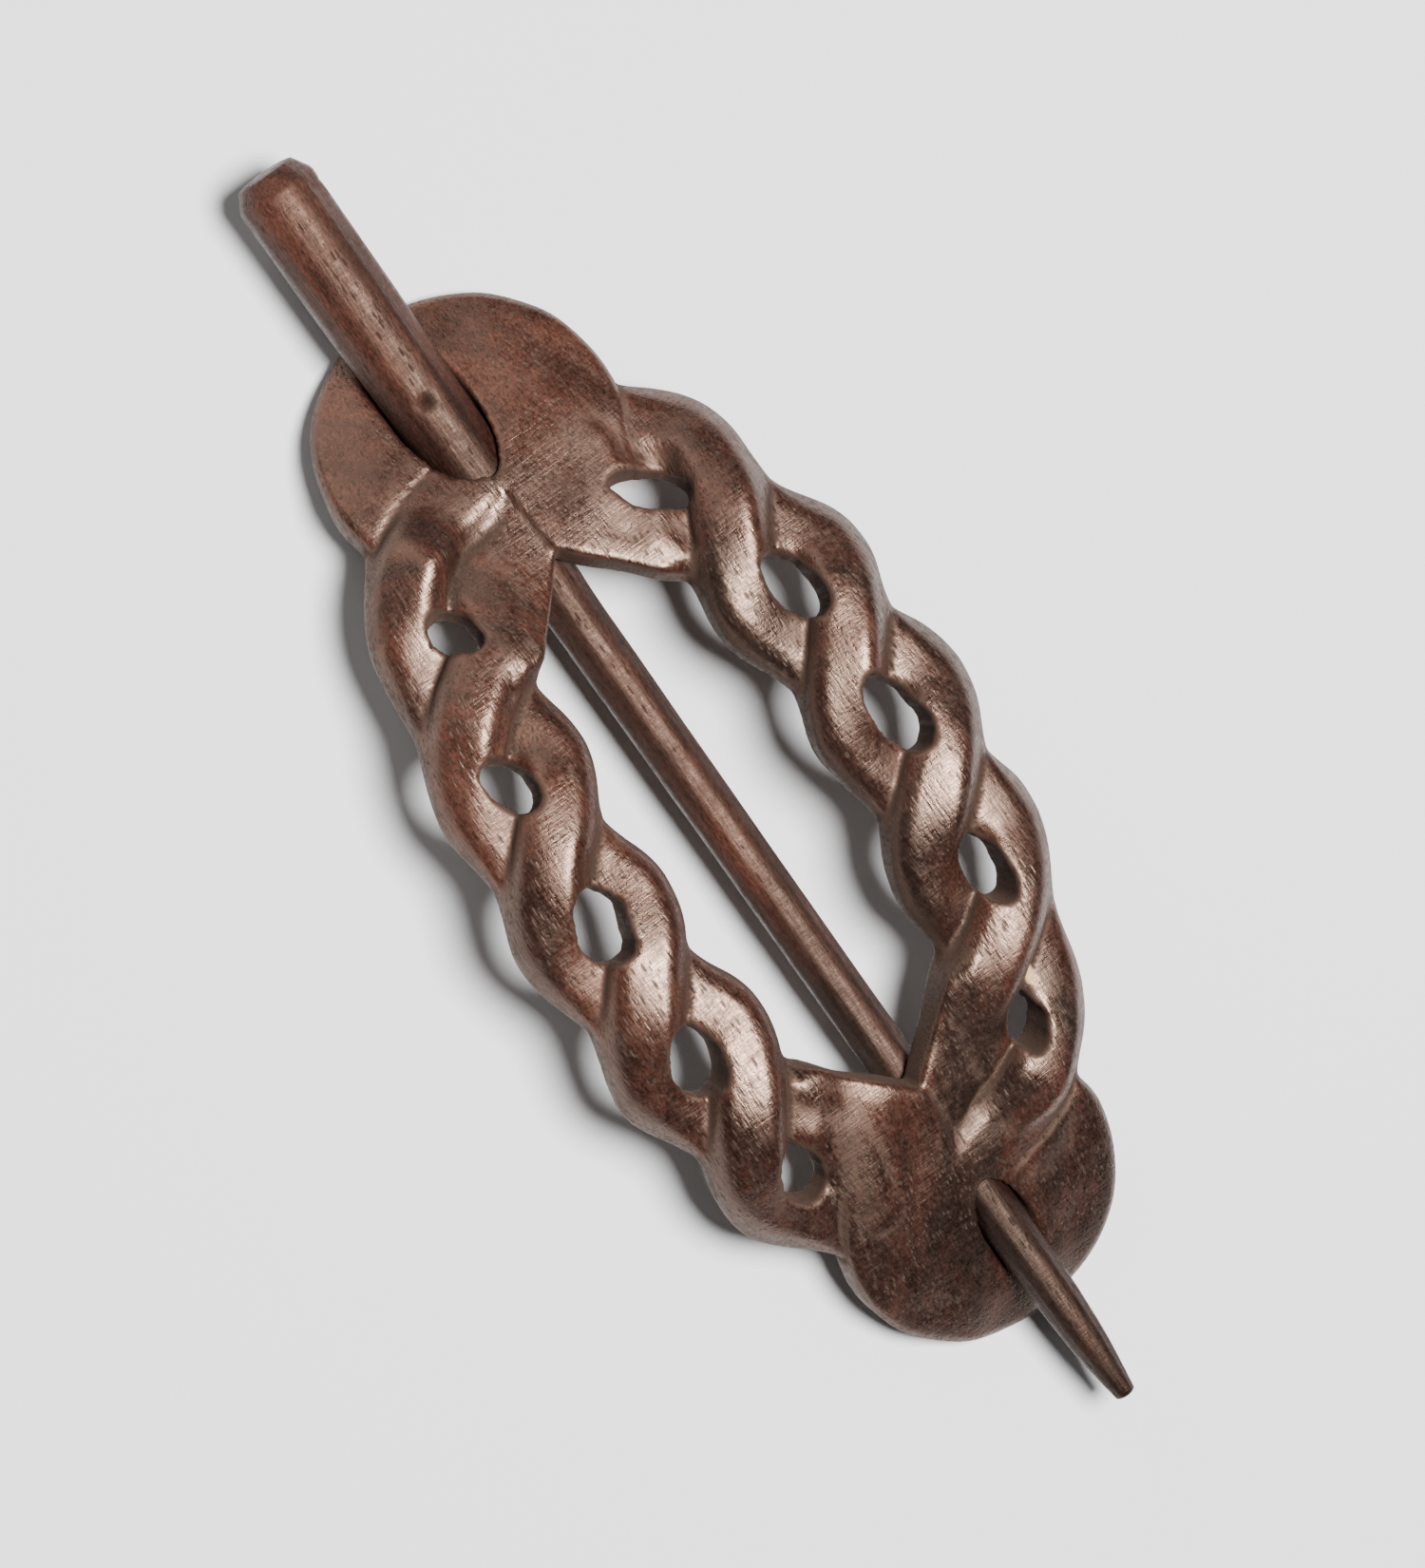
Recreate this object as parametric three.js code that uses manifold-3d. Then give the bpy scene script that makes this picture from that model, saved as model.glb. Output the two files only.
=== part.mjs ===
// A two-piece wooden hair slide: an arched frame with two carved rope-twist braids between its
// end lobes, and a tapered stick that passes down through one lobe and up through the other.
// Millimetres. +X runs along the frame towards the stick's tip and +Z out of the convex face.
// The frame stands on a flat foot under each lobe, at z = 0.
import * as THREE from "three";
import { mergeVertices } from "three/addons/utils/BufferGeometryUtils.js";
import Module from "manifold-3d";

const wasm = await Module();
wasm.setup();

// Frame, over all
const FRAME_LENGTH = 113.5; // chord from lobe wall to lobe wall
const ARCH_RADIUS = 105; // of the hollow underside
const FOOT_DEPTH = 1.6; // sanded off under each lobe end

// End lobes
const LOBE_LENGTH = 29.6; // along the arch
const LOBE_WIDTH = 29.3;
const LOBE_THICKNESS = 4.6; // at the middle of the lobe
const LOBE_RIM_THICKNESS = 3.6;
const LOBE_ROUNDING = 1.6; // of the upper rim

// Braids: two strands twisted round each other along half an ellipse
const BRAID_SPREAD = 17.75; // from the frame's middle line to the braid's
const CROSSINGS = 5;
const CROSSING_INSET = 5.1; // from the middle of a lobe back to the outermost crossing
const STRAND_WIDTH = 6.2;
const STRAND_THICKNESS = 5;
const STRAND_CROWN = 2.9; // height of the rounded top
const STRAND_SWING = 5.3; // to each side of the braid's middle
const STRAND_WAVE = 1.05; // above and below its mean height

// Central opening
const OPENING_MARGIN = 1.2; // between its straight sides and the strands at mid length
const OPENING_NECK = 12.9; // from the middle of a lobe back to the opening's corner
const OPENING_SLANT = 7; // length of the slanted stretch next to that corner

// Stick
const HEAD_DIAMETER = 7.8;
const NECK_DIAMETER = 7; // at the end of the thick stretch
const SHANK_DIAMETER = 5; // at the end of the taper
const NOSE_DIAMETER = 4.3; // where the point starts
const BELLY_DIAMETER = 3.8; // half way along the point
const TIP_DIAMETER = 2;
const HEAD_OVERHANG = 19.5; // beyond the frame's end
const TIP_OVERHANG = 11.7;
const HEAD_LENGTH = 34; // thick stretch
const TAPER_LENGTH = 17; // from the head down to the shank
const NOSE_LENGTH = 12; // of the point
const HEAD_CHAMFER = 1.8;
const STICK_SKEW = THREE.MathUtils.degToRad(1.35); // in plan, about the frame's middle
const STICK_CLEARANCE = 0.5; // all round, in the holes
const LOBE_LIP = 1.8; // from the lobe's end to the edge of the head hole

// Fineness of the faces
const STRAND_STEPS = 34;
const STRAND_TOP_STEPS = 4;
const LOBE_SIDES = 28;
const STICK_SIDES = 18;

// Amounts by which cutting and hidden shapes run past what they cut or join
const OVERRUN = 6;
const BURIED = 2;

// The arch, in developed coordinates: x along it, y across it, z out from its underside
const widestHeight = LOBE_RIM_THICKNESS - LOBE_ROUNDING; // where a lobe's wall meets its rounding
const endAngle = Math.asin(FRAME_LENGTH / 2 / (ARCH_RADIUS + widestHeight));
const halfDeveloped = ARCH_RADIUS * endAngle;
const archCentreHeight = -ARCH_RADIUS * Math.cos(endAngle) - FOOT_DEPTH;
const lobeCentre = halfDeveloped - LOBE_LENGTH / 2;
const lastCrossing = lobeCentre - CROSSING_INSET;
const crossingPitch = (2 * lastCrossing) / CROSSINGS;

// Bends a developed shape round the arch, after raising it by lift(x).
function arched(geometry, lift = () => 0) {
  const position = geometry.getAttribute("position");
  for (let i = 0; i < position.count; i++) {
    const along = position.getX(i);
    const radius = ARCH_RADIUS + position.getZ(i) + lift(along);
    const angle = along / ARCH_RADIUS;
    position.setX(i, radius * Math.sin(angle));
    position.setZ(i, radius * Math.cos(angle) + archCentreHeight);
  }
  return geometry;
}

// A closed geometry as a solid that can be joined and cut.
function solidOf(geometry) {
  const bare = geometry.index ? geometry.toNonIndexed() : geometry.clone();
  bare.deleteAttribute("normal");
  bare.deleteAttribute("uv");
  const merged = mergeVertices(bare, 1e-4);
  const vertProperties = merged.getAttribute("position").array;
  const triVerts = new Uint32Array(merged.index.array);
  return new wasm.Manifold(new wasm.Mesh({ numProp: 3, vertProperties, triVerts }));
}

function geometryOf(solid) {
  const { vertProperties, triVerts } = solid.getMesh();
  const geometry = new THREE.BufferGeometry();
  geometry.setAttribute("position", new THREE.BufferAttribute(vertProperties, 3));
  geometry.setIndex(new THREE.BufferAttribute(triVerts, 1));
  return geometry;
}

// Distance of a braid's middle line from the frame's middle line.
function braidMiddle(along) {
  return BRAID_SPREAD * Math.sqrt(1 - (along / lobeCentre) ** 2);
}

// A strand's route in plan. side is 1 for the strand that is outermost at mid length, else -1.
class StrandRoute extends THREE.Curve {
  constructor(side) {
    super();
    this.side = side;
  }
  getPoint(t, target = new THREE.Vector3()) {
    const along = lastCrossing * (2 * t - 1);
    const middle = braidMiddle(along);
    const slope = (-along * (BRAID_SPREAD / lobeCentre) ** 2) / middle;
    const across = new THREE.Vector3(-slope, 1, 0).normalize();
    const offset = this.side * STRAND_SWING * Math.cos((Math.PI * along) / crossingPitch);
    return target.set(along, middle, 0).addScaledVector(across, offset);
  }
}

// Straight sides and a rounded top. On the route's frames the section's -x points up.
function strandSection() {
  const section = new THREE.Shape();
  section.moveTo(BURIED, -STRAND_WIDTH / 2);
  section.lineTo(STRAND_CROWN - STRAND_THICKNESS, -STRAND_WIDTH / 2);
  section.absellipse(
    STRAND_CROWN - STRAND_THICKNESS, 0, STRAND_CROWN, STRAND_WIDTH / 2, -Math.PI / 2, Math.PI / 2, true,
  );
  section.lineTo(BURIED, STRAND_WIDTH / 2);
  return section;
}

// One strand. It rises over each crossing where it runs outside to inside, dips under the next,
// and levels out at the end where the braid runs smoothly into its lobe.
function strand(side) {
  const geometry = new THREE.ExtrudeGeometry(strandSection(), {
    steps: STRAND_STEPS,
    curveSegments: STRAND_TOP_STEPS,
    extrudePath: new StrandRoute(side),
  });
  const lift = (along) => {
    const level = THREE.MathUtils.smoothstep(along, -lastCrossing, crossingPitch - lastCrossing);
    return level * side * STRAND_WAVE * Math.sin((Math.PI * along) / crossingPitch);
  };
  return arched(geometry, lift);
}

// An end lobe: a rounded disc, a little thicker in the middle.
function lobe(end) {
  const radius = LOBE_WIDTH / 2;
  const profile = [new THREE.Vector2(0, -BURIED), new THREE.Vector2(radius, -BURIED)];
  const ROUNDING_STEPS = 3;
  for (let i = 0; i <= ROUNDING_STEPS; i++) {
    const turn = (i / ROUNDING_STEPS) * (Math.PI / 2);
    const inset = LOBE_ROUNDING * (1 - Math.cos(turn));
    const height = LOBE_RIM_THICKNESS - LOBE_ROUNDING * (1 - Math.sin(turn));
    profile.push(new THREE.Vector2(radius - inset, height));
  }
  const crown = LOBE_THICKNESS - LOBE_RIM_THICKNESS;
  for (const share of [0.6, 0.3, 0]) {
    profile.push(new THREE.Vector2(radius * share, LOBE_RIM_THICKNESS + crown * (1 - share ** 2)));
  }
  const geometry = new THREE.LatheGeometry(profile, LOBE_SIDES).rotateX(Math.PI / 2);
  geometry.scale(LOBE_LENGTH / LOBE_WIDTH, 1, 1).translate(end * lobeCentre, 0, 0);
  return arched(geometry);
}

const openingCorner = lobeCentre - OPENING_NECK;
const openingShoulder = openingCorner - OPENING_SLANT;
const openingHalfWidth = BRAID_SPREAD - STRAND_SWING - STRAND_WIDTH / 2 - OPENING_MARGIN;

// The web that joins the strands to a lobe round the corner of the central opening.
function web(end) {
  const innerHoleEdge = braidMiddle(2 * crossingPitch) - STRAND_SWING + STRAND_WIDTH / 2;
  const length = lobeCentre - openingShoulder;
  const height = LOBE_THICKNESS + BURIED;
  const geometry = new THREE.BoxGeometry(length, 2 * innerHoleEdge, height, 6, 4, 1);
  geometry.translate(end * (openingShoulder + length / 2), 0, height / 2 - BURIED);
  return arched(geometry);
}

// The central opening: six-sided, with its corners on the frame's middle line.
function opening() {
  const outline = new THREE.Shape([
    new THREE.Vector2(openingCorner, 0),
    new THREE.Vector2(openingShoulder, openingHalfWidth),
    new THREE.Vector2(-openingShoulder, openingHalfWidth),
    new THREE.Vector2(-openingCorner, 0),
    new THREE.Vector2(-openingShoulder, -openingHalfWidth),
    new THREE.Vector2(openingShoulder, -openingHalfWidth),
  ]);
  const depth = STRAND_THICKNESS + 3 * OVERRUN;
  const geometry = new THREE.ExtrudeGeometry(outline, { depth, bevelEnabled: false });
  return arched(geometry.translate(0, 0, -OVERRUN));
}

// Everything below the arched underside.
function hollow() {
  const length = 2 * (halfDeveloped + OVERRUN);
  const width = 2 * (BRAID_SPREAD + STRAND_SWING + STRAND_WIDTH);
  const geometry = new THREE.BoxGeometry(length, width, OVERRUN, 40, 1, 1);
  return arched(geometry.translate(0, 0, -OVERRUN / 2));
}

// Everything below the feet.
function ground() {
  const span = 2 * FRAME_LENGTH;
  return new THREE.BoxGeometry(span, span, OVERRUN).translate(0, 0, -OVERRUN / 2);
}

// The stick lies level, low enough to dip into the head lobe just inside that lobe's lip.
const lipX = FRAME_LENGTH / 2 - LOBE_LIP;
const lipHeight = Math.sqrt((ARCH_RADIUS + LOBE_RIM_THICKNESS) ** 2 - lipX ** 2) + archCentreHeight;
const stickHeight = lipHeight + STICK_CLEARANCE + HEAD_DIAMETER / 2;
const headEnd = -FRAME_LENGTH / 2 - HEAD_OVERHANG;
const tipEnd = FRAME_LENGTH / 2 + TIP_OVERHANG;

// A turned shape with the stick's own profile, larger all round by clearance.
function turnedStick(clearance) {
  const taperStart = headEnd + HEAD_LENGTH;
  const shankStart = taperStart + TAPER_LENGTH;
  const noseStart = tipEnd - NOSE_LENGTH;
  const stations = [
    [headEnd, (HEAD_DIAMETER - HEAD_CHAMFER) / 2],
    [headEnd + HEAD_CHAMFER, HEAD_DIAMETER / 2],
    [taperStart, NECK_DIAMETER / 2],
    [shankStart, SHANK_DIAMETER / 2],
    [noseStart, NOSE_DIAMETER / 2],
    [(noseStart + tipEnd) / 2, BELLY_DIAMETER / 2],
    [tipEnd, TIP_DIAMETER / 2],
  ];
  const profile = stations.map(([x, radius]) => new THREE.Vector2(radius + clearance, x));
  const start = new THREE.Vector2(0, headEnd);
  const finish = new THREE.Vector2(0, tipEnd);
  const geometry = new THREE.LatheGeometry([start, ...profile, finish], STICK_SIDES);
  return geometry.rotateZ(-Math.PI / 2).rotateZ(STICK_SKEW).translate(0, 0, stickHeight);
}

function carvedFrame() {
  let solid = solidOf(lobe(1)).add(solidOf(lobe(-1)));
  solid = solid.add(solidOf(web(1))).add(solidOf(web(-1)));
  for (const side of [1, -1]) {
    for (const turn of [0, Math.PI]) {
      solid = solid.add(solidOf(strand(side).rotateZ(turn)));
    }
  }
  for (const cut of [opening(), hollow(), ground(), turnedStick(STICK_CLEARANCE)]) {
    solid = solid.subtract(solidOf(cut));
  }
  return geometryOf(solid);
}

const frameWood = new THREE.MeshStandardMaterial({ color: 0x6b4a3f, roughness: 0.48, metalness: 0 });
const stickWood = new THREE.MeshStandardMaterial({ color: 0x6a4338, roughness: 0.4, metalness: 0 });

const frame = new THREE.Mesh(carvedFrame(), frameWood);
frame.name = "carved_frame";
const stick = new THREE.Mesh(turnedStick(0), stickWood);
stick.name = "hair_stick";

// The origin is under the middle of the whole slide, stick included.
const slide = new THREE.Group();
slide.add(frame, stick);
slide.position.x = -((headEnd + tipEnd) / 2) * Math.cos(STICK_SKEW);

export default slide;
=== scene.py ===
import math

import bpy
import numpy as np
from mathutils import Matrix, Vector


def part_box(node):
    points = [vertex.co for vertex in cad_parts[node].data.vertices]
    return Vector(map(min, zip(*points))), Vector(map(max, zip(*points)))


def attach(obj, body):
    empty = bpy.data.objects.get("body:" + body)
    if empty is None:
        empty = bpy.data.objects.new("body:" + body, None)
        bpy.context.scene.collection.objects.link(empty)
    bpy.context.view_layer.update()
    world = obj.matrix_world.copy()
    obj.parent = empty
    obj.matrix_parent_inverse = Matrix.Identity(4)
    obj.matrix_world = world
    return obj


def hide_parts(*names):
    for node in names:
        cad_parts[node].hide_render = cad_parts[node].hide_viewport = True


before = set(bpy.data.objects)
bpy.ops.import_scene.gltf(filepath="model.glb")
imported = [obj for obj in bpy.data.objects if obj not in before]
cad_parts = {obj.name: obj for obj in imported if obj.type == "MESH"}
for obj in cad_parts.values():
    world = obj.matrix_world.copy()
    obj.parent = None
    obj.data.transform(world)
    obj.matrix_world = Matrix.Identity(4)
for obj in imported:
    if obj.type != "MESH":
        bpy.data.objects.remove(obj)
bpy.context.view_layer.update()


# --- Carved frame ------------------------------------------------------------------------------
# One plank of dark rosewood, sawn to an arch, pierced, and whittled into two rope-twist braids
# between two round lobes. It is shaped here as a flat block and bent last: s runs along the arch,
# v across it and n out from its hollow underside, in millimetres.

MM = 0.001

# The block it is carved from, and how fine the carving is.
BLOCK_HALF_LENGTH, BLOCK_HALF_WIDTH, BLOCK_BOTTOM, BLOCK_TOP = 60.6, 28.2, -1.2, 8.7
GRID_STEP = 0.35

# The arch: its underside's radius, its length over all, and how far down the feet are sanded.
ARCH_RADIUS = 105.0
FRAME_LENGTH = 113.5
FOOT_DEPTH = 1.6

# The lobes: outline, level at the middle and the rim, and how round the rim's edge is.
LOBE_LENGTH, LOBE_WIDTH = 29.6, 29.3
LOBE_TOP, LOBE_RIM_TOP, LOBE_ROUNDING = 4.6, 3.8, 1.0
LOBE_DOMING = 7.0
# How far each lobe's outline is off its nominal one: outwards, across, longer and wider.
HEAD_LOBE_OFF = (0.0, 0.35, 0.2, 0.2)
POINT_LOBE_OFF = (0.3, 0.4, 0.2, 0.3)

# The braids: the oval their middles follow, and how the level of a strand rises and dips.
BRAID_SPREAD, BRAID_REACH = 17.7, 43.9
CROSSING_PITCH = 15.1
OUTWARD_SWING, INWARD_SWING, SWING_TAPER = 4.3, 4.4, 0.025
STRAND_HALF_WIDTH, STRAND_SPLAY = 3.8, 0.7
STRAND_TOP, STRAND_WAVE, STRAND_TILT, STRAND_CAMBER = 5.15, 1.6, 0.8, 0.2
STRAND_ROUNDING = 2.6
STRAND_START, STRAND_FINISH = -37.6, 42.6
INNER_SINKS_AT, INNER_SINKS_OVER = -23.0, 7.0
STRAND_ENDS_AT, STRAND_ENDS_OVER = 35.5, 5.0
OUTER_FALL, OUTER_FALL_WIDTH = 0.026, 9.0
LEAN_TOWARDS = (0.6, 0.8)

# The knife's creases between strands, and where they carry on along the head lobe's rim and into
# the point end's lobe.
CREASE_DEPTH, CREASE_WIDTH = 0.26, 0.8
HEAD_CREASE_AT, POINT_CREASE_AT = -28.0, 31.0

# The thinner wood that joins a braid's two strands, and the fillet between it and them.
GROUND_HALF_WIDTH, GROUND_TOP, GROUND_ROUNDING = 6.15, 3.0, 1.0
GROUND_FILLET = 1.2

# What the hand leaves: each braid's own swell at mid length and slide along the twist, the
# unevenness of the whole block, and the coarse and fine raggedness of the small holes' walls.
FAR_FULLNESS, FAR_SHIFT = 0.7, -0.5
NEAR_FULLNESS, NEAR_SHIFT = -0.2, 0.5
HAND_SWELL, COARSE_RAGGED, FINE_RAGGED = 0.14, 0.14, 0.07

# How round the edges are: of the opening, the small holes, the underside and the stick's holes.
OPENING_EDGE, HOLE_EDGE, UNDER_EDGE, STICK_HOLE_EDGE = 0.5, 0.3, 0.6, 0.35

# The six-sided opening, and the webs that join each lobe to both braids.
OPENING_CORNER, OPENING_SHOULDER, OPENING_HALF_WIDTH = 30.3, 22.2, 7.8
WEB_START, WEB_END, WEB_HALF_WIDTH, WEB_STEP = 22.4, 44.0, 10.4, 0.45
WEB_FILLET = 3.0
# The fillet where strands meet a web: all along, and how much more by the opening's shoulders.
LAP_FILLET, SHOULDER_FILLET, SHOULDER_REACH = 0.3, 1.4, 5.0

frame_low, frame_high = (np.array(corner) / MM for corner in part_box("carved_frame"))
stick_low, stick_high = (np.array(corner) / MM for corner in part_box("hair_stick"))
middle_x = (frame_low[0] + frame_high[0]) / 2
end_angle = math.asin(FRAME_LENGTH / 2 / (ARCH_RADIUS + 2.0))
arch_centre_z = -ARCH_RADIUS * math.cos(end_angle) - FOOT_DEPTH
lobe_centre = ARCH_RADIUS * end_angle - LOBE_LENGTH / 2


def bent(s, v, n):
    """Where a place in the flat block lies once the plank is arched."""
    radius = ARCH_RADIUS + n
    return radius * np.sin(s / ARCH_RADIUS), v, radius * np.cos(s / ARCH_RADIUS) + arch_centre_z


def waver(s, v, size, seed):
    """Smooth unevenness between about -1 and 1, with swells about size millimetres across."""
    dice = np.random.default_rng(seed)
    total = np.zeros(np.broadcast(s, v).shape)
    for _ in range(14):
        heading, phase = dice.uniform(0, 2 * np.pi, 2)
        turns = 2 * np.pi / (size * dice.uniform(1.0, 2.2))
        total += np.cos(turns * (s * np.cos(heading) + v * np.sin(heading)) + phase)
    return total / 5.0


def eased(value):
    """0 to 1, with a soft start and finish."""
    value = np.clip(value, 0, 1)
    return value * value * (3 - 2 * value)


def corner(a, b, radius):
    """Inside both a and b, with the edge between them rounded."""
    outside = np.hypot(np.maximum(a + radius, 0), np.maximum(b + radius, 0))
    return outside + np.minimum(np.maximum(a, b) + radius, 0) - radius


def blended(a, b, radius):
    """Inside a or b, with a hollow fillet between them."""
    return -corner(-a, -b, radius)


def oval(s, v, centre, half_length, half_width, turn=0.0):
    """Distance from an oval's edge, negative inside it."""
    ds, dv = s - centre[0], v - centre[1]
    along = ds * math.cos(turn) + dv * math.sin(turn)
    across = dv * math.cos(turn) - ds * math.sin(turn)
    reach = np.hypot(along / half_length, across / half_width) + 1e-6
    steepness = np.hypot(along / half_length**2, across / half_width**2) + 1e-6
    return (reach - 1) * reach / steepness


def lobe_outline(s, v, end, outwards=0.0, across=0.0, longer=0.0, wider=0.0):
    """Distance from a lobe's rim, negative inside it. end is -1 at the head and 1 at the point."""
    centre = (end * (lobe_centre + outwards), across)
    return oval(s, v, centre, LOBE_LENGTH / 2 + longer, LOBE_WIDTH / 2 + wider)


def braid_route(side, fullness, shift):
    """A strand's middle line in plan. side is 1 for the strand that is outermost at mid length."""
    s = np.linspace(STRAND_START, STRAND_FINISH, 700)
    v = BRAID_SPREAD * np.sqrt(1 - (s / BRAID_REACH) ** 2)
    slope = -s * (BRAID_SPREAD / BRAID_REACH) ** 2 / v
    turn = side * np.cos(np.pi * (s - shift) / CROSSING_PITCH)
    outward = OUTWARD_SWING - SWING_TAPER * s + fullness * np.clip(1 - (s / 26) ** 2, 0, 1)
    offset = turn * np.where(turn > 0, outward, INWARD_SWING)
    length = np.hypot(slope, 1)
    return s, np.stack([s - offset * slope / length, v + offset / length], axis=1)


def nearest(columns, route):
    """For each place in plan, its distance from a line and the number of the closest point."""
    distance = np.empty(len(columns))
    closest = np.empty(len(columns), int)
    for part in np.array_split(np.arange(len(columns)), 60):
        gap = np.hypot(*(columns[part, None, axis] - route[None, :, axis] for axis in (0, 1)))
        closest[part] = gap.argmin(axis=1)
        distance[part] = gap.min(axis=1)
    return distance, closest


def crease(gap):
    """How deep the knife's groove is at a distance from the edge it follows."""
    return CREASE_DEPTH * np.clip(1 - np.abs(gap) / CREASE_WIDTH, 0, 1) ** 1.3


def strand(columns, side, fullness, shift, lean):
    """One strand at each place in plan: the distance outside its edge, how far it is on its way
    over (1) or under (-1) the other, its level, and how round its edge is."""
    along, route = braid_route(side, fullness, shift)
    distance, closest = nearest(columns, route)
    rise = side * np.sin(np.pi * (along - shift) / CROSSING_PITCH)
    top = STRAND_TOP + STRAND_WAVE * rise
    if side < 0:
        sunk = np.minimum(top, LOBE_TOP - 0.15)
        top = top + (sunk - top) * eased((INNER_SINKS_AT - along) / INNER_SINKS_OVER)
    ending = eased((along - STRAND_ENDS_AT) / STRAND_ENDS_OVER)
    top = top + (LOBE_TOP + 0.15 - top) * ending
    half_width = STRAND_HALF_WIDTH + STRAND_SPLAY * np.maximum(-rise, 0) ** 2

    offset = columns - route[closest]
    offset = lean * (offset @ LEAN_TOWARDS) / STRAND_HALF_WIDTH
    lapping = (np.maximum(rise, 0) * (1 - ending))[closest]
    level = top[closest] + STRAND_TILT * lapping * np.clip(offset, -1, 0.6)
    level = level - STRAND_CAMBER * np.clip(distance / STRAND_HALF_WIDTH, 0, 1) ** 2
    rounding = STRAND_ROUNDING + np.clip(1.5 * offset, -1, 1) * np.sqrt(lapping)
    return distance - half_width[closest], rise[closest], level, rounding


def braid(s, v, n, fullness, shift, lean):
    """The far braid, the groove it needs in the point end's lobe and the level of its inner strand.
    The near braid is the same, turned half round. fullness swells the outline at mid length, and
    shift slides the twist along. lean raises a strand's far side where it laps over the other."""
    columns = np.stack([s.ravel(), v.ravel()], axis=1)
    middle = np.linspace(-40, 40, 700)
    middle = np.stack([middle, BRAID_SPREAD * np.sqrt(1 - (middle / BRAID_REACH) ** 2)], axis=1)
    from_middle = nearest(columns, middle)[0].reshape(s.shape)
    outside = (s / BRAID_REACH) ** 2 + (v / BRAID_SPREAD) ** 2 > 1
    falling = OUTER_FALL * np.where(outside, np.minimum(from_middle, OUTER_FALL_WIDTH), 0) ** 2

    outer, inner = (
        [part.reshape(s.shape) for part in strand(columns, side, fullness, shift, lean)]
        for side in (1, -1)
    )
    outer_gap, outer_rise, outer_top, outer_rounding = outer
    inner_gap, inner_rise, inner_top, inner_rounding = inner
    outer_top = outer_top - falling - np.where(inner_rise > outer_rise, crease(inner_gap), 0)
    inner_top = inner_top - falling - np.where(outer_rise > inner_rise, crease(outer_gap), 0)
    lobe_rim = lobe_outline(s, v, -1)
    outer_top = outer_top - np.where(s < HEAD_CREASE_AT, crease(lobe_rim), 0)
    strands = np.minimum(
        corner(outer_gap[..., None], n - outer_top[..., None], outer_rounding[..., None]),
        corner(inner_gap[..., None], n - inner_top[..., None], inner_rounding[..., None]),
    )
    past_ground = from_middle[..., None] - GROUND_HALF_WIDTH
    ground = corner(past_ground, n - GROUND_TOP, GROUND_ROUNDING)
    groove = crease(outer_gap) * np.clip((v - 2) / 4, 0, 1)
    groove = np.where(s > POINT_CREASE_AT, groove, 0)
    return blended(strands, ground, GROUND_FILLET), groove, inner_top


# The pierced holes: middle along and across, length, width and slant in degrees.
FAR_HOLES = [
    (-30.0, 10.8, 7.8, 3.8, 46),
    (-15.2, 16.4, 7.6, 4.5, 12),
    (-0.6, 17.4, 8.7, 4.5, 12),
    (16.2, 16.6, 7.2, 3.8, 4),
    (30.8, 12.3, 5.9, 3.6, -10),
]
NEAR_HOLES = [
    (-29.4, -12.7, 5.4, 3.8, 27),
    (-15.2, -17.1, 6.2, 4.0, 20),
    (-0.3, -17.6, 7.3, 5.1, -12),
    (14.8, -17.2, 7.1, 5.0, -3),
    (30.2, -14.1, 6.4, 4.6, 10),
]
holes = [
    ((at_s, at_v), length / 2, width / 2, math.radians(slant))
    for at_s, at_v, length, width, slant in FAR_HOLES + NEAR_HOLES
]

# The stick's own section along its length, which its holes follow: distance from the frame's
# middle towards the point, and radius.
STICK_STATIONS = [-75.2, -73.4, -60, -43, -25, 0, 30, 50, 56.5, 62.5, 68.1]
STICK_RADII = [3.0, 4.1, 4.0, 3.6, 2.65, 2.5, 2.4, 2.3, 2.2, 1.85, 1.05]
STICK_SKEW = math.radians(1.35)
STICK_CLEARANCE = 0.35
stick_z = (stick_low[2] + stick_high[2]) / 2


def carved_plate(s, v, n, far_level, near_level, grooves):
    """Both lobes and their webs as one plate, stepped down a little on the side where the last
    strand laps over it, and rising to meet that strand."""
    head_lobe = lobe_outline(s, v, -1, *HEAD_LOBE_OFF)
    point_lobe = lobe_outline(s, v, 1, *POINT_LOBE_OFF)
    web_length = np.maximum(WEB_START - np.abs(s), np.abs(s) - WEB_END)
    web = np.maximum(np.abs(v) - WEB_HALF_WIDTH, web_length)
    plan = blended(np.minimum(head_lobe, point_lobe), web, WEB_FILLET)
    doming = np.clip(-plan / LOBE_DOMING, 0, 1) ** 0.7
    top = LOBE_RIM_TOP + (LOBE_TOP - LOBE_RIM_TOP) * doming
    lapped_side = v * np.sign(s)
    step = np.clip(lapped_side / 0.6, 0, 1) * np.clip((39 - np.abs(s)) / 2, 0, 1)
    climb = np.clip(lapped_side / 7, 0, 1) ** 1.3
    stepped = top - WEB_STEP
    stepped = stepped + (np.where(s > 0, far_level, near_level) - stepped) * climb
    top = top + (stepped - top) * step - grooves
    return corner(plan[..., None], n - top[..., None], LOBE_ROUNDING)


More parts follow.
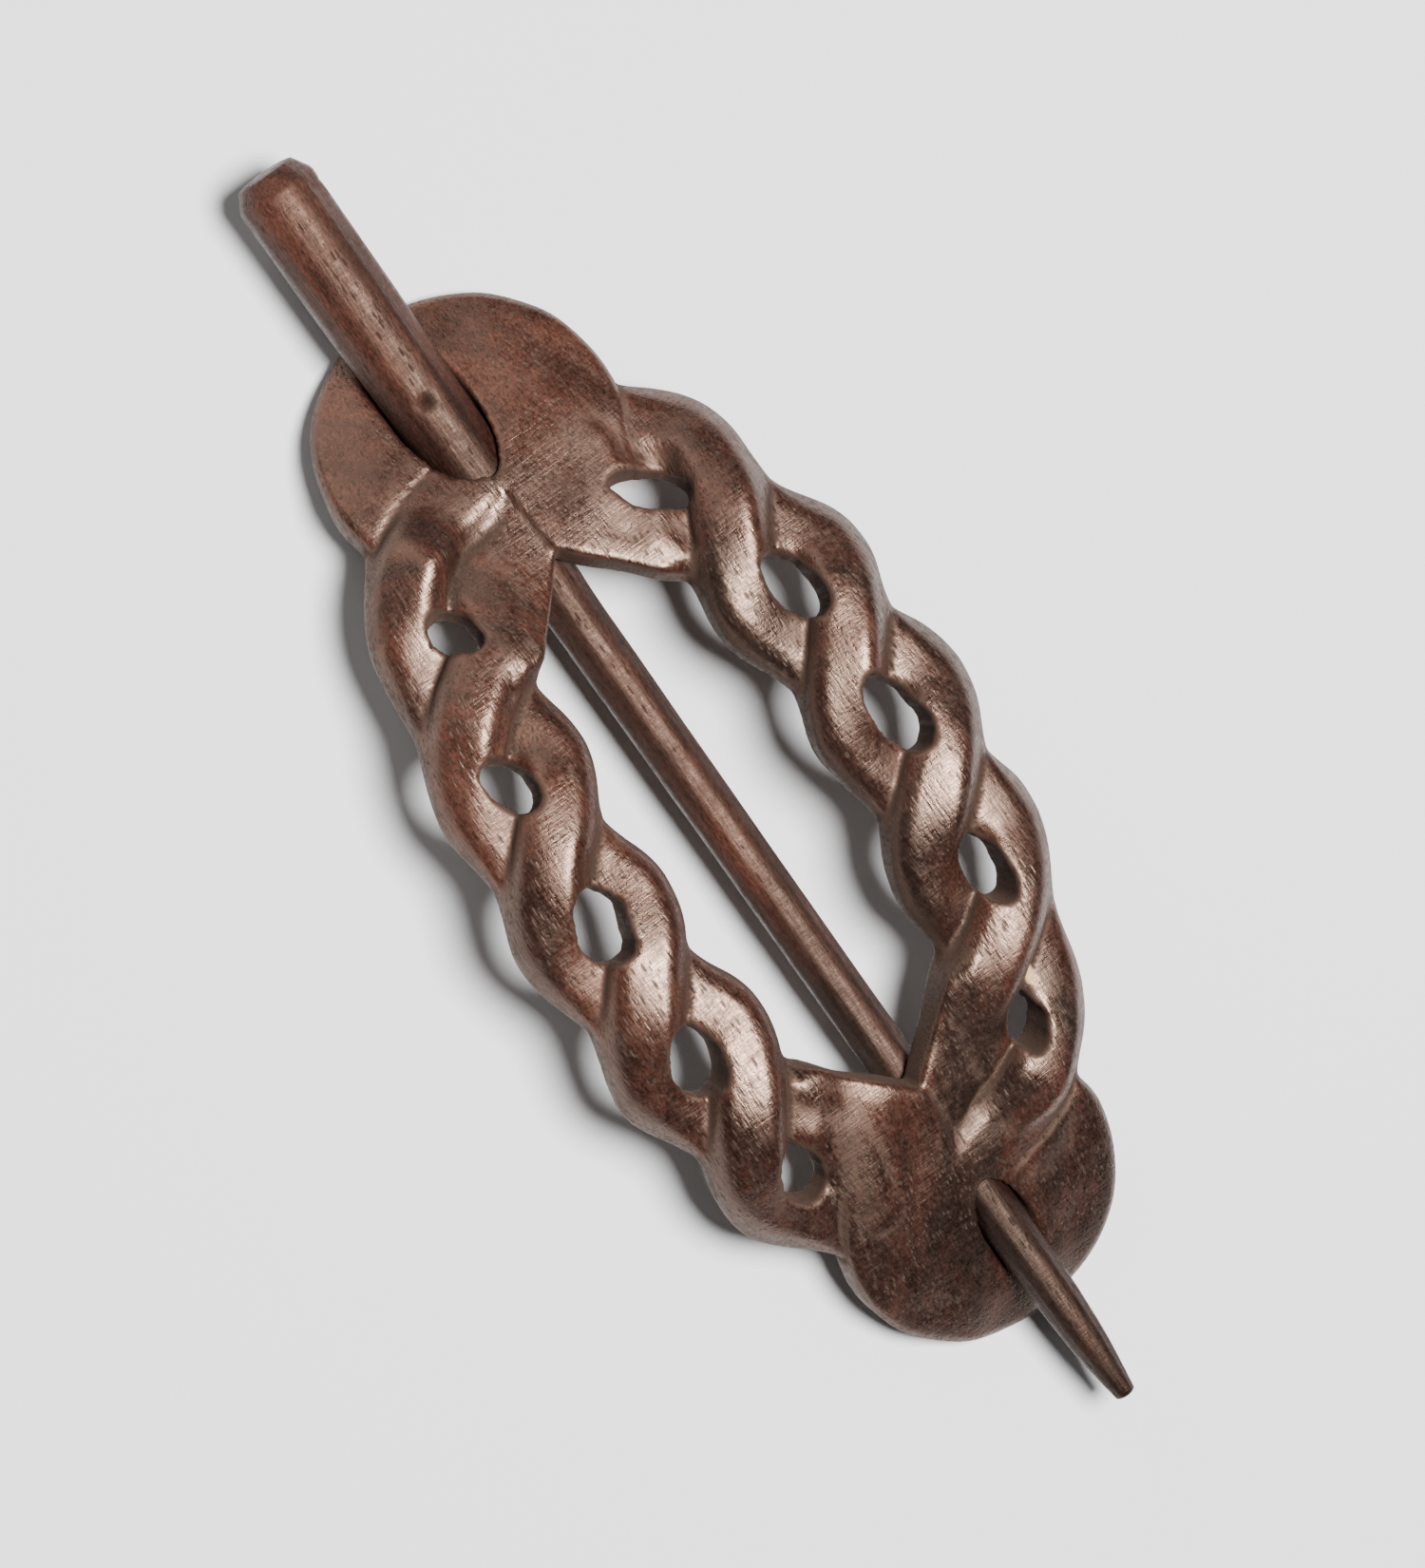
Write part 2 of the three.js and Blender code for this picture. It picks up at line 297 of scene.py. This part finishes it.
def carved_block():
    """The carved shape as a field over the flat block: negative in the wood, zero on its skin."""
    s_line = np.arange(-BLOCK_HALF_LENGTH, BLOCK_HALF_LENGTH, GRID_STEP)
    v_line = np.arange(-BLOCK_HALF_WIDTH, BLOCK_HALF_WIDTH, GRID_STEP)
    n_line = np.arange(BLOCK_BOTTOM, BLOCK_TOP, GRID_STEP)
    s, v = np.meshgrid(s_line, v_line, indexing="ij")
    n = n_line[None, None, :]
    far, far_groove, far_level = braid(s, v, n, FAR_FULLNESS, FAR_SHIFT, 1)
    near, near_groove, near_level = braid(-s, -v, n, NEAR_FULLNESS, NEAR_SHIFT, -1)
    plate = carved_plate(s, v, n, far_level, near_level, far_groove + near_groove)
    across = np.abs(v)[..., None]
    along = np.abs(s)[..., None]
    by_shoulder = np.clip(1 - np.abs(along - OPENING_SHOULDER) / SHOULDER_REACH, 0, 1)
    fillet = LAP_FILLET + SHOULDER_FILLET * by_shoulder
    wood = blended(plate, np.minimum(far, near), fillet)

    slant = math.hypot(OPENING_CORNER - OPENING_SHOULDER, OPENING_HALF_WIDTH)
    to_slant = (along - OPENING_CORNER) * OPENING_HALF_WIDTH / slant
    to_slant = to_slant + across * (OPENING_CORNER - OPENING_SHOULDER) / slant
    opening = np.maximum(to_slant, across - OPENING_HALF_WIDTH)
    wood = corner(wood, -opening, OPENING_EDGE)

    ragged = COARSE_RAGGED * waver(s, v, 1.9, seed=4) + FINE_RAGGED * waver(s, v, 0.7, seed=5)
    for hole in holes:
        wood = corner(wood, -(oval(s, v, *hole) + ragged)[..., None], HOLE_EDGE)

    wood = wood + (HAND_SWELL * waver(s, v, 6.0, seed=7))[..., None]
    wood = corner(wood, -n, UNDER_EDGE)

    x, y, z = bent(s[..., None], v[..., None], n)
    lengthwise = x * math.cos(STICK_SKEW) + y * math.sin(STICK_SKEW)
    sideways = y * math.cos(STICK_SKEW) - x * math.sin(STICK_SKEW)
    radius = np.interp(lengthwise, STICK_STATIONS, STICK_RADII) + STICK_CLEARANCE
    wood = corner(wood, radius - np.hypot(sideways, z - stick_z), STICK_HOLE_EDGE)
    wood = np.maximum(wood, -z)
    return wood, np.array([s_line[0], v_line[0], n_line[0]])


def unpinched(field):
    """The same wood, with a speck more where two parts of it would meet only along an edge."""
    field = field.copy()
    for _ in range(10):
        pinches = 0
        for a, b in ((0, 1), (0, 2), (1, 2)):
            corners = []
            for step_a, step_b in ((0, 0), (1, 1), (1, 0), (0, 1)):
                window = [slice(None)] * 3
                window[a] = slice(step_a, field.shape[a] - 1 + step_a)
                window[b] = slice(step_b, field.shape[b] - 1 + step_b)
                corners.append(field[tuple(window)])
            inside = [places < 0 for places in corners]
            pinch = (inside[0] == inside[1]) & (inside[2] == inside[3]) & (inside[0] != inside[2])
            corners[0][pinch & ~inside[0]] = -0.01
            corners[2][pinch & inside[0]] = -0.01
            pinches += pinch.sum()
        if not pinches:
            break
    return field


def skin(field, low, step):
    """Quads wrapped round the zero surface of a field: one vertex in each cell that it crosses."""
    field = unpinched(field)
    inside = field < 0
    cells = np.array(field.shape) - 1
    sums = np.zeros((cells.prod(), 3))
    counts = np.zeros(cells.prod())
    quads = []
    for axis in range(3):
        following = np.roll(np.arange(3), -axis - 1)[:2]
        near = tuple(slice(0, -1) if a == axis else slice(None) for a in range(3))
        far = tuple(slice(1, None) if a == axis else slice(None) for a in range(3))
        place = np.argwhere(inside[near] != inside[far])
        onward = place.copy()
        onward[:, axis] += 1
        here, there = field[tuple(place.T)], field[tuple(onward.T)]
        point = place.astype(float)
        point[:, axis] += here / (here - there)
        ring = []
        for back in ((0, 0), (1, 0), (1, 1), (0, 1)):
            cell = place.copy()
            cell[:, following] -= back
            number = np.ravel_multi_index(cell.T, cells)
            ring.append(number)
            counts += np.bincount(number, minlength=len(counts))
            for a in range(3):
                sums[:, a] += np.bincount(number, point[:, a], minlength=len(counts))
        ring = np.stack(ring, axis=1)
        outward = here < 0
        quads.append(np.where(outward[:, None], ring, ring[:, ::-1]))
    quads = np.concatenate(quads)
    used, quads = np.unique(quads, return_inverse=True)
    points = low + step * sums[used] / counts[used, None]
    return points, quads.reshape(-1, 4), used


def share_of_wood(field, reach):
    """The share of wood in a small box round each place of the block."""
    share = np.pad((field < 0).astype(np.float32), reach, mode="edge")
    for axis in range(3):
        total = np.cumsum(share, axis=axis)
        before = np.take(total, range(total.shape[axis] - 2 * reach), axis)
        share = (np.take(total, range(2 * reach, total.shape[axis]), axis) - before) / (2 * reach)
    return share


def add_mesh(name, points, faces):
    mesh = bpy.data.meshes.new(name)
    mesh.from_pydata(points.tolist(), [], faces)
    mesh.shade_smooth()
    piece = bpy.data.objects.new(name, mesh)
    bpy.context.collection.objects.link(piece)
    return piece


def add_mask(piece, name, values):
    """Keeps one number for each vertex, which a material reads by name."""
    mask = piece.data.attributes.new(name, "FLOAT", "POINT")
    mask.data.foreach_set("value", values.astype(np.float32))


wood, grid_low = carved_block()
flat_points, frame_quads, cell_numbers = skin(wood, grid_low, GRID_STEP)
x, y, z = bent(*flat_points.T)
frame_points = np.stack([x + middle_x, y, z], axis=1) * MM
frame_piece = add_mesh("frame_carving", frame_points, frame_quads.tolist())

# How sharply the skin turns: above 0 on a crisp edge, below 0 in a groove. A wide hollow has more
# wood round it than the skin elsewhere, and is dulled and given painted shade like a groove: the
# groove mask is painted shade in hollows and creases.
FULL_BEND = 2.5
HOLLOW_START, HOLLOW_FULL, HOLLOW_SHADE_STRENGTH = 0.54, 0.74, 0.75
bend_of_skin = sum(
    np.gradient(np.gradient(wood, GRID_STEP, axis=a), GRID_STEP, axis=a) for a in range(3)
)
bend_of_skin = bend_of_skin[:-1, :-1, :-1].ravel()[cell_numbers]
hollow = share_of_wood(wood, 3)[:-1, :-1, :-1].ravel()[cell_numbers]
hollow = np.clip((hollow - HOLLOW_START) / (HOLLOW_FULL - HOLLOW_START), 0, 1)
crease_shade = np.clip(-bend_of_skin / FULL_BEND, 0, 1)
# The edge mask is a painted highlight: the material lightens the wood a little along crisp edges.
add_mask(frame_piece, "edge", np.clip(bend_of_skin / FULL_BEND, 0, 1))
# The groove mask is painted shade: the material darkens the wood where it turns into a hollow or a
# crease.
add_mask(frame_piece, "groove", np.clip(HOLLOW_SHADE_STRENGTH * hollow + crease_shade, 0, 1))

# A torn splinter by the far hole at the point end, which shows pale new wood.
SPLINTER_PLACE, SPLINTER_HALF_SIZE = (27.3, 15.0), (1.43, 0.65)
splinter = 1 - np.hypot(*((flat_points[:, :2] - SPLINTER_PLACE) / SPLINTER_HALF_SIZE).T)
add_mask(frame_piece, "chip", np.clip(3.9 * splinter, 0, 1) * (flat_points[:, 2] > 2))

# Walls left rough by the drill and the fret saw, which take no polish; their darkening is partly
# that rough wood and partly painted shade inside the holes. The frame's steep sides are left rough
# too, but less, and are darkened as painted shade because they face sideways from the light
# overhead.
SAWN_REACH, SAWN_FADE = 0.48, 0.3
STEEP_START, STEEP_FULL, SIDE_SHADE_STRENGTH = 0.7, 0.25, 0.7
to_holes = np.min([np.abs(oval(*flat_points.T[:2], *hole)) for hole in holes], axis=0)
sawn_and_shaded = np.clip((SAWN_REACH - to_holes) / SAWN_FADE, 0, 1)
upright = np.empty(len(frame_points) * 3, np.float32)
frame_piece.data.vertex_normals.foreach_get("vector", upright)
upright = np.abs(upright.reshape(-1, 3)[:, 2])
shaded_sides = SIDE_SHADE_STRENGTH * np.clip((STEEP_START - upright) / (STEEP_START - STEEP_FULL), 0, 1)
# This mask darkens the hole walls (rough wood with painted shade) and the steep sides (painted
# shade).
add_mask(frame_piece, "sawn_and_shaded", np.maximum(sawn_and_shaded, shaded_sides) * np.clip(flat_points[:, 2] / 0.6, 0, 1))


# Rosewood, as both pieces use it: streaks along the grain, short open pores, and fine tool marks.
def shader_group(name, inputs, outputs):
    group = bpy.data.node_groups.new(name, "ShaderNodeTree")
    for label, kind, value in inputs:
        socket = group.interface.new_socket(label, in_out="INPUT", socket_type=kind)
        if value is not None:
            socket.default_value = value
    for label, kind in outputs:
        group.interface.new_socket(label, in_out="OUTPUT", socket_type=kind)
    return group, group.nodes.new("NodeGroupInput"), group.nodes.new("NodeGroupOutput")


def add_node(tree, kind, values=(), **settings):
    node = tree.nodes.new(kind)
    for key, value in settings.items():
        setattr(node, key, value)
    for key, value in dict(values).items():
        node.inputs[key].default_value = value
    return node


def math_node(tree, operation, *terms):
    node = add_node(tree, "ShaderNodeMath", operation=operation)
    for socket, term in zip(node.inputs, terms):
        if isinstance(term, (int, float)):
            socket.default_value = term
        else:
            tree.links.new(term, socket)
    return node.outputs[0]


def ramp(tree, source, stops):
    """Turns a number into a colour along the stops given."""
    node = tree.nodes.new("ShaderNodeValToRGB")
    elements = node.color_ramp.elements
    while len(elements) < len(stops):
        elements.new(0.5)
    for element, (place, colour) in zip(elements, stops):
        element.position = place
        element.color = (*colour, 1)
    tree.links.new(source, node.inputs["Fac"])
    return node.outputs["Color"]


def weighted(tree, *parts):
    """The sum of the parts, each given with its weight."""
    total = 0.0
    for part, weight in parts:
        total = math_node(tree, "MULTIPLY_ADD", part, weight, total)
    return total


def painted_over(tree, colour, mask, strength, overlay_colour):
    """The colour with another colour painted over it where the mask is above 0: the wood's own
    marks for some masks, painted shade and painted highlight for others.
    """
    node = add_node(tree, "ShaderNodeMix", data_type="RGBA")
    sockets = {socket.identifier: socket for socket in (*node.inputs, *node.outputs)}
    tree.links.new(math_node(tree, "MULTIPLY", mask, strength), sockets["Factor_Float"])
    tree.links.new(colour, sockets["A_Color"])
    sockets["B_Color"].default_value = (*overlay_colour, 1)
    return sockets["Result_Color"]


def stretched(tree, place, scale):
    """Coordinates in millimetres, squeezed or stretched along each axis."""
    node = add_node(tree, "ShaderNodeVectorMath", {1: scale}, operation="MULTIPLY")
    tree.links.new(place, node.inputs[0])
    return node.outputs[0]


def noise(tree, place, scale, detail, roughness, distortion=0.0):
    """Uneven patches. scale is how many there are to a millimetre along each axis."""
    node = add_node(tree, "ShaderNodeTexNoise", {
        "Scale": 1.0, "Detail": detail, "Roughness": roughness, "Distortion": distortion,
    })
    tree.links.new(stretched(tree, place, scale), node.inputs["Vector"])
    return node.outputs["Fac"]


def build_figure():
    """Growth layers of rosewood, which lie on a slant through the plank. The colour darkens towards
    the point end, partly as the wood's own tone and partly as painted shade, standing in for the
    light that end catches less of; it is finely speckled all over."""
    tree, start, end = shader_group("rosewood_figure", [
        ("Place", "NodeSocketVector", None),
        ("Darkness", "NodeSocketFloat", 0.0),
    ], [("Colour", "NodeSocketColor"), ("Dark Streak", "NodeSocketFloat")])
    place = start.outputs["Place"]
    layer_slant = {"Angle": math.radians(58)}
    turned = add_node(tree, "ShaderNodeVectorRotate", layer_slant, rotation_type="X_AXIS")
    tree.links.new(place, turned.inputs["Vector"])
    layered = turned.outputs["Vector"]
    broad = noise(tree, layered, (0.012, 0.20, 0.045), detail=4, roughness=0.6, distortion=0.5)
    fine = noise(tree, layered, (0.06, 1.3, 0.7), detail=5, roughness=0.65, distortion=0.3)
    blotch = noise(tree, place, (0.11, 0.11, 0.11), detail=4, roughness=0.6)
    lengthwise = add_node(tree, "ShaderNodeSeparateXYZ")
    tree.links.new(place, lengthwise.inputs["Vector"])
    figure = weighted(
        tree,
        (fine, 0.3),
        (broad, 0.55),
        (blotch, 0.25),
        # Darker towards the point end: partly the wood's own tone, partly painted shade.
        (lengthwise.outputs["X"], -0.0013),
        (start.outputs["Darkness"], -1.0),
    )
    colour = ramp(tree, figure, [
        (0.38, (0.0036, 0.0016, 0.0014)),
        (0.47, (0.0098, 0.0035, 0.0026)),
        (0.55, (0.0205, 0.0070, 0.0048)),
        (0.67, (0.0400, 0.0140, 0.0092)),
    ])
    streak = noise(tree, layered, (0.010, 0.36, 0.05), detail=4, roughness=0.55, distortion=0.5)
    streak = math_node(tree, "MULTIPLY", math_node(tree, "SUBTRACT", streak, 0.52), 7.0)
    streak = math_node(tree, "MINIMUM", math_node(tree, "MAXIMUM", streak, 0.0), 1.0)
    speckle = noise(tree, place, (1.3, 4.4, 4.4), detail=3, roughness=0.7)
    speckle = math_node(tree, "MULTIPLY_ADD", speckle, 4.0, -0.95)
    speckle = math_node(tree, "MAXIMUM", speckle, 0.2)
    tinted = add_node(tree, "ShaderNodeVectorMath", operation="SCALE")
    tree.links.new(colour, tinted.inputs[0])
    tree.links.new(speckle, tinted.inputs["Scale"])
    tree.links.new(tinted.outputs[0], end.inputs["Colour"])
    tree.links.new(streak, end.inputs["Dark Streak"])
    return tree


def build_pores():
    """Short open pores, drawn out along the grain: a mask for colour and depth."""
    tree, start, end = shader_group("rosewood_pores", [
        ("Place", "NodeSocketVector", None),
    ], [("Pore", "NodeSocketFloat")])
    place = start.outputs["Place"]
    cells = add_node(tree, "ShaderNodeTexVoronoi", {"Scale": 1.0, "Randomness": 1.0})
    tree.links.new(stretched(tree, place, (0.5, 2.1, 2.1)), cells.inputs["Vector"])
    distance = cells.outputs["Distance"]
    core = math_node(tree, "LESS_THAN", distance, 0.27)
    soft = math_node(tree, "SUBTRACT", 1.0, math_node(tree, "DIVIDE", distance, 0.33))
    soft = math_node(tree, "MAXIMUM", soft, 0.0)
    patch = noise(tree, place, (0.07, 0.16, 0.16), detail=2, roughness=0.5)
    patch = math_node(tree, "GREATER_THAN", patch, 0.45)
    pore = math_node(tree, "MULTIPLY", math_node(tree, "ADD", core, soft), 0.6)
    pore = math_node(tree, "MULTIPLY", pore, patch)
    tree.links.new(pore, end.inputs["Pore"])
    return tree


def build_marks():
    """Scraper and sandpaper marks: fine lines across the grain, fibres along it, and grit."""
    tree, start, end = shader_group("scraper_marks", [
        ("Place", "NodeSocketVector", None),
    ], [("Height", "NodeSocketFloat"), ("Dulling", "NodeSocketFloat")])
    place = start.outputs["Place"]
    lines = noise(tree, place, (3.6, 0.35, 0.35), detail=3, roughness=0.65, distortion=0.6)
    fibres = noise(tree, place, (0.4, 3.0, 3.0), detail=3, roughness=0.65)
    grit = noise(tree, place, (3.0, 3.0, 3.0), detail=3, roughness=0.7)
    swell = noise(tree, place, (0.35, 0.35, 0.35), detail=2, roughness=0.5)
    height = weighted(tree, (fibres, 0.65), (lines, 0.55), (grit, 0.45), (swell, 0.10))
    dulling = weighted(tree, (grit, 0.7), (swell, 0.5), (lines, 0.5), (fibres, 0.9))
    dulling = math_node(tree, "SUBTRACT", dulling, 0.80)
    tree.links.new(height, end.inputs["Height"])
    tree.links.new(dulling, end.inputs["Dulling"])
    return tree


figure_group, pores_group, marks_group = build_figure(), build_pores(), build_marks()


def place_group(tree, group, place):
    node = add_node(tree, "ShaderNodeGroup", node_tree=group)
    tree.links.new(place, node.inputs["Place"])
    return node


def rosewood(name, darkness, pore_depth, dullness, gloss):
    """Waxed rosewood. The masks dull and darken its grooves, hollows and nick as painted shade,
    lighten its crisp edges a little as painted highlight, dull and darken the walls of its holes
    (their rough wood, with painted shade) and its steep sides (painted shade), and show a chip.
    """
    material = bpy.data.materials.new(name)
    material.use_nodes = True
    tree = material.node_tree
    shader = tree.nodes["Principled BSDF"]
    edge, groove, sawn_and_shaded, chip = (
        add_node(tree, "ShaderNodeAttribute", attribute_name=mask).outputs["Fac"]
        for mask in ("edge", "groove", "sawn_and_shaded", "chip")
    )
    coordinates = tree.nodes.new("ShaderNodeTexCoord")
    place = stretched(tree, coordinates.outputs["Object"], (1 / MM, 1 / MM, 1 / MM))
    figure = place_group(tree, figure_group, place)
    figure.inputs["Darkness"].default_value = darkness
    pore = place_group(tree, pores_group, place).outputs["Pore"]
    marks = place_group(tree, marks_group, place).outputs

    colour = figure.outputs["Colour"]
    for mask, strength, overlay_colour in (
        (figure.outputs["Dark Streak"], 0.75, (0.0045, 0.0032, 0.0030)),
        # Painted highlight along crisp edges.
        (edge, 0.05, (0.085, 0.040, 0.026)),
        # Painted shade in grooves, hollows and the stick's nick.
        (groove, 0.85, (0.005, 0.0027, 0.0022)),
        (pore, 0.95 * pore_depth, (0.0025, 0.0015, 0.0012)),
        # Rough wood of the hole walls with painted shade in the holes, and painted shade on the
        # steep sides.
        (sawn_and_shaded, 0.65, (0.006, 0.003, 0.0022)),
        (chip, 1.0, (0.42, 0.25, 0.14)),
    ):
        colour = painted_over(tree, colour, mask, strength, overlay_colour)
    tree.links.new(colour, shader.inputs["Base Color"])

    roughness = weighted(
        tree, (marks["Dulling"], 0.55), (groove, 0.60), (pore, 0.25), (sawn_and_shaded, 0.50)
    )
    roughness = math_node(tree, "ADD", roughness, dullness)
    tree.links.new(roughness, shader.inputs["Roughness"])
    shader.inputs["Specular IOR Level"].default_value = gloss
    shader.inputs["Specular Tint"].default_value = (1.0, 0.66, 0.50, 1)

    pore = math_node(tree, "MULTIPLY", pore, pore_depth)
    bump = add_node(tree, "ShaderNodeBump", {"Strength": 1.0, "Distance": 0.06 * MM})
    tree.links.new(math_node(tree, "SUBTRACT", marks["Height"], pore), bump.inputs["Height"])
    tree.links.new(bump.outputs["Normal"], shader.inputs["Normal"])
    return material


frame_rosewood = rosewood(
    "frame_rosewood", darkness=0.0, pore_depth=1.0, dullness=0.05, gloss=0.9
)
frame_piece.data.materials.append(frame_rosewood)
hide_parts("carved_frame")
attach(frame_piece, "frame")


# --- Hair stick --------------------------------------------------------------------------------
# A straight stick of the same wood, whittled nearly round and sanded, thick and blunt at the head
# and drawn down to a small blunt point. It is held only by the holes in the two lobes.

STICK_AROUND = 72
STICK_RINGS = 360
# Flats left by the knife: which way each faces, and its distance from the middle as a share of
# the radius.
STICK_FLATS = ((0.75, 0.965), (1.75, 0.985), (2.6, 0.98), (3.9, 0.985), (5.2, 0.98))
# Each flat wanders a little round the stick, in waves of this length over 2 pi.
FLAT_WANDER, WANDER_LENGTH = 0.05, 19.0
HAND_WOBBLE = 0.008
# A knock on the head's upper side: where along it, which way it faces, and its size.
NICK_PLACE, NICK_FACING = -49.3, 1.78
NICK_LENGTH, NICK_BREADTH, NICK_DEPTH = 0.55, 0.22, 0.6
# The rounding of each end: rings by their share of its radius and how far they stand out.
END_RINGS = ((0.92, 0.10), (0.75, 0.22), (0.45, 0.32), (0.18, 0.36))
END_BULGE = 0.37


def stick_mesh():
    """The stick along x, in millimetres: its points, its faces, and how deep the nick is."""
    along = np.linspace(0, 1, STICK_RINGS)
    along = STICK_STATIONS[0] + (STICK_STATIONS[-1] - STICK_STATIONS[0]) * along
    radius = np.interp(along, STICK_STATIONS, STICK_RADII)
    padded = np.pad(radius, 6, mode="edge")
    radius[8:-8] = np.convolve(padded, np.ones(13) / 13, mode="valid")[8:-8]
    angle = np.linspace(0, 2 * np.pi, STICK_AROUND, endpoint=False)
    grid_along, grid_angle = np.meshgrid(along, angle, indexing="ij")
    grid_radius = np.repeat(radius[:, None], STICK_AROUND, axis=1)
    for facing, share in STICK_FLATS:
        wander = FLAT_WANDER * np.sin(grid_along / WANDER_LENGTH + facing)
        lean = np.cos(grid_angle - facing + wander)
        flat = share * radius[:, None] / np.maximum(lean, 0.2)
        grid_radius = np.minimum(grid_radius, flat)
    nick = np.hypot(
        (grid_along - NICK_PLACE) / NICK_LENGTH, (grid_angle - NICK_FACING) / NICK_BREADTH
    )
    nick = np.exp(-(nick**2))
    grid_radius -= NICK_DEPTH * nick
    grid_radius *= 1 + HAND_WOBBLE * waver(grid_along, 6 * np.cos(grid_angle), 9.0, seed=21)
    across, up = grid_radius * np.cos(grid_angle), grid_radius * np.sin(grid_angle)
    points = np.stack([grid_along, across, up], axis=-1).reshape(-1, 3)
    ring = np.arange(STICK_RINGS * STICK_AROUND).reshape(STICK_RINGS, STICK_AROUND)
    onward = np.roll(ring, -1, axis=1)
    quads = np.stack([ring[:-1], onward[:-1], onward[1:], ring[1:]], axis=-1)
    faces = quads.reshape(-1, 4).tolist()
    for end, out in ((0, -1), (-1, 1)):
        rim = ring[end]
        centre = points[rim].mean(axis=0)
        previous = rim
        for share, bulge in END_RINGS:
            new = centre + (points[rim] - centre) * share + [out * bulge, 0, 0]
            number = np.arange(len(points), len(points) + len(rim))
            points = np.concatenate([points, new])
            band = [previous, np.roll(previous, -1), np.roll(number, -1), number]
            faces += np.stack(band[::out], axis=1).tolist()
            previous = number
        points = np.concatenate([points, [centre + [out * END_BULGE, 0, 0]]])
        tip = np.full(len(previous), len(points) - 1)
        faces += np.stack([previous, np.roll(previous, -1), tip][::out], axis=1).tolist()
    return points, faces, np.pad(nick.ravel(), (0, len(points) - nick.size))


stick_points, stick_faces, nick = stick_mesh()
stick_piece = add_mesh("stick_turning", stick_points * MM, stick_faces)
through_holes = Matrix.Translation((middle_x * MM, 0, stick_z * MM))
stick_piece.data.transform(through_holes @ Matrix.Rotation(STICK_SKEW, 4, "Z"))
# The nick goes into the groove mask, so the material paints shade into it.
add_mask(stick_piece, "groove", nick)
stick_rosewood = rosewood(
    "stick_rosewood", darkness=0.02, pore_depth=0.4, dullness=0.21, gloss=0.34
)
stick_piece.data.materials.append(stick_rosewood)
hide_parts("hair_stick")
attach(stick_piece, "stick")


# --- Table, lights and camera ------------------------------------------------------------------
# A plain pale sheet, one large soft light nearly overhead and a weaker one from the head end.
# The room behind is as pale as the sheet where it is seen, but adds little light.

bpy.ops.mesh.primitive_plane_add(size=3.0, location=(0, 0, -0.0002))
sheet = bpy.context.object
sheet.name = "pale_table"
paper = bpy.data.materials.new("pale_paper")
paper.use_nodes = True
paper_shader = paper.node_tree.nodes["Principled BSDF"]
paper_shader.inputs["Base Color"].default_value = (0.62, 0.62, 0.62, 1)
paper_shader.inputs["Roughness"].default_value = 0.9
sheet.data.materials.append(paper)

aim = Vector((middle_x * MM, 0, 0.008))


def direction(azimuth, elevation):
    """The way from the object towards a light or the camera, from angles in degrees."""
    azimuth, elevation = math.radians(azimuth), math.radians(elevation)
    level = math.cos(elevation)
    return Vector((level * math.cos(azimuth), level * math.sin(azimuth), math.sin(elevation)))


def add_light(name, azimuth, elevation, distance, size, power):
    towards = direction(azimuth, elevation)
    lamp = bpy.data.lights.new(name, "AREA")
    lamp.shape = "DISK"
    lamp.size = size
    lamp.energy = power
    holder = bpy.data.objects.new(name, lamp)
    holder.location = aim + towards * distance
    holder.rotation_euler = towards.to_track_quat("Z", "Y").to_euler()
    bpy.context.collection.objects.link(holder)


add_light("overhead_softbox", azimuth=80, elevation=84, distance=0.8, size=0.28, power=26.0)
add_light("head_end_softbox", azimuth=190, elevation=25, distance=0.9, size=0.7, power=3.0)

ROOM_LIGHT, ROOM_PALENESS = 0.07, 0.55
world = bpy.data.worlds.new("studio")
bpy.context.scene.world = world
world.use_nodes = True
room = world.node_tree.nodes["Background"]
room.inputs["Color"].default_value = (1, 1, 1, 1)
light_path = world.node_tree.nodes.new("ShaderNodeLightPath")
seen = light_path.outputs["Is Camera Ray"]
strength = math_node(world.node_tree, "MULTIPLY_ADD", seen, ROOM_PALENESS, ROOM_LIGHT)
world.node_tree.links.new(strength, room.inputs["Strength"])

CAMERA_AZIMUTH, CAMERA_ELEVATION, CAMERA_ROLL = 236.5, 75.3, math.radians(88.7)
CAMERA_DISTANCE = 0.82
CAMERA_RIGHT, CAMERA_UP = -0.0010, 0.0036
SENSOR_HEIGHT, LENS = 24, 131.9
out = direction(CAMERA_AZIMUTH, CAMERA_ELEVATION)
level_right = Vector((0, 0, 1)).cross(out).normalized()
level_up = out.cross(level_right)
right = math.cos(CAMERA_ROLL) * level_right + math.sin(CAMERA_ROLL) * level_up
up = out.cross(right)
camera_data = bpy.data.cameras.new("camera")
camera_data.sensor_fit = "VERTICAL"
camera_data.sensor_height = SENSOR_HEIGHT
camera_data.lens = LENS
camera = bpy.data.objects.new("camera", camera_data)
camera.matrix_world = Matrix((
    (right.x, up.x, out.x, 0),
    (right.y, up.y, out.y, 0),
    (right.z, up.z, out.z, 0),
    (0, 0, 0, 1),
))
camera.location = aim + out * CAMERA_DISTANCE + right * CAMERA_RIGHT + up * CAMERA_UP
bpy.context.collection.objects.link(camera)
bpy.context.scene.camera = camera
